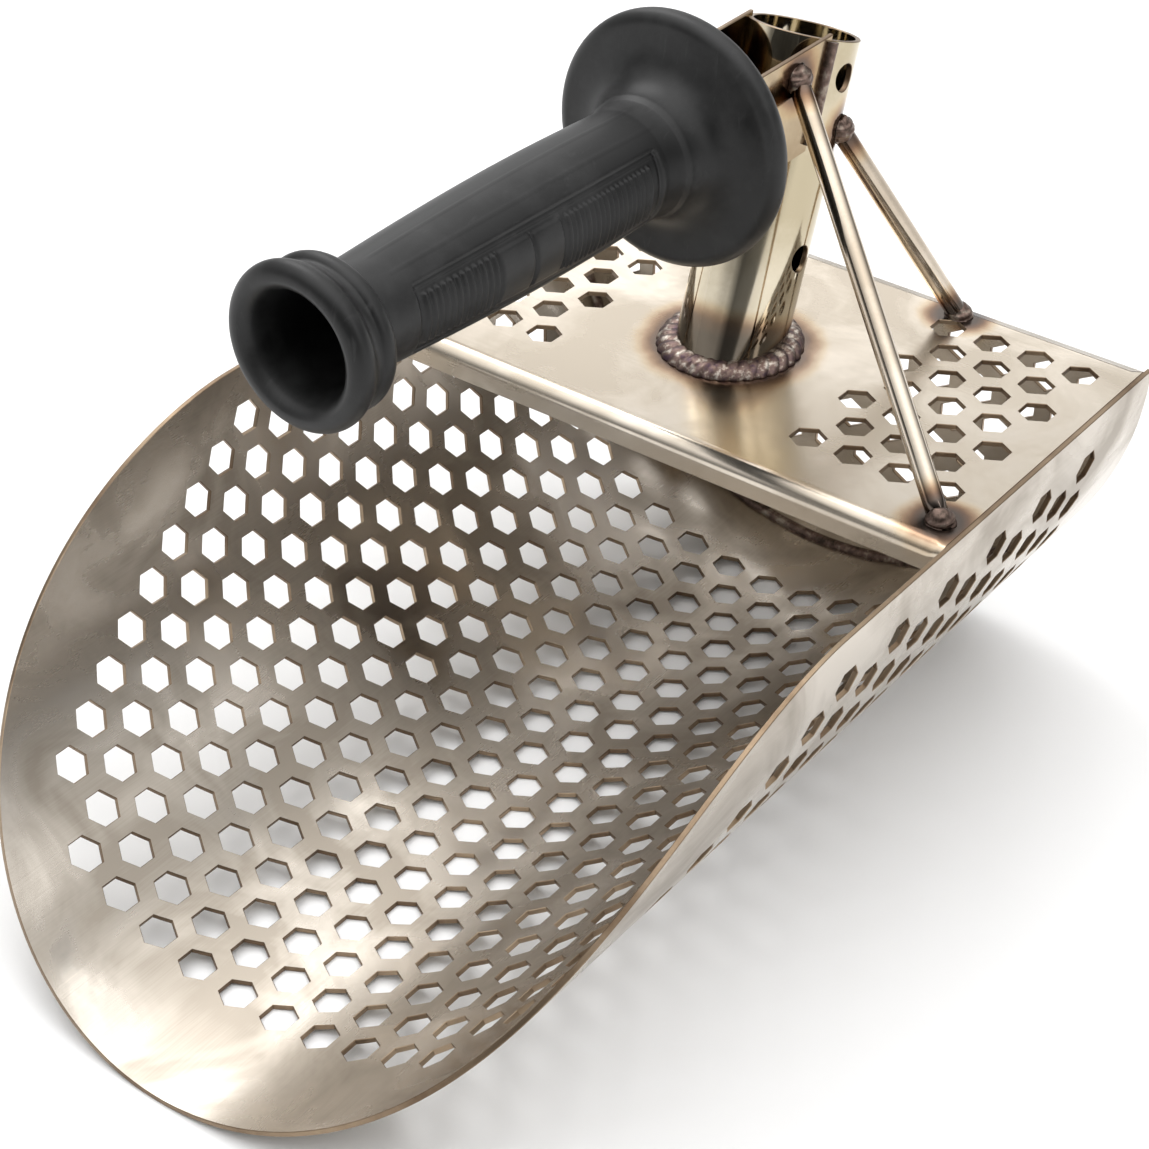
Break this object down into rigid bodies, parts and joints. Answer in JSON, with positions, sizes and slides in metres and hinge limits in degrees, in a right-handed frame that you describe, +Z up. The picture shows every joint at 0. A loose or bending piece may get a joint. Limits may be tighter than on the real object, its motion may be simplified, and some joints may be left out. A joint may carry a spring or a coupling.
{
  "type": "beach sand scoop",
  "caption": "Perforated half-round sand scoop with folded cover, leaning shaft socket, stay rods and a rubber side grip.",
  "frame": {"origin": "middle of the footprint on the surface that the trough rests on", "axes": "+X towards the nose, +Y to the left side, +Z up"},
  "size_m": [0.309, 0.207, 0.2163],
  "materials": {
    "trough_steel": "brushed, rolled sheet with smudges",
    "cover_steel": "fine satin",
    "socket_steel": "polished tube with heat tint",
    "bracket_steel": "mill sheet with heat tint",
    "tube_steel": "drawn tube",
    "rod_steel": "drawn bar with heat tint at its ends",
    "weld_metal": "rippled, oxidised bead",
    "grip_rubber": "moulded matte"
  },
  "bodies": {
    "root": {"trough_shell": "trough_steel", "cover_plate": "cover_steel", "cover_seam_weld_left": "weld_metal", "cover_seam_weld_right": "weld_metal", "back_seam_weld": "weld_metal", "shaft_socket": "socket_steel", "socket_base_weld": "weld_metal", "grip_bracket": "bracket_steel", "bracket_weld_left": "weld_metal", "bracket_weld_right": "weld_metal", "grip_core_tube": "tube_steel", "core_tube_weld": "weld_metal", "rubber_grip": "grip_rubber", "front_brace_left": "rod_steel", "front_brace_right": "rod_steel", "rear_brace_left": "rod_steel", "rear_brace_right": "rod_steel", "front_foot_weld_left": "weld_metal", "front_foot_weld_right": "weld_metal", "front_head_weld_left": "weld_metal", "front_head_weld_right": "weld_metal", "rear_foot_weld_left": "weld_metal", "rear_foot_weld_right": "weld_metal", "rear_head_weld_left": "weld_metal", "rear_head_weld_right": "weld_metal"}
  },
  "joints": []
}
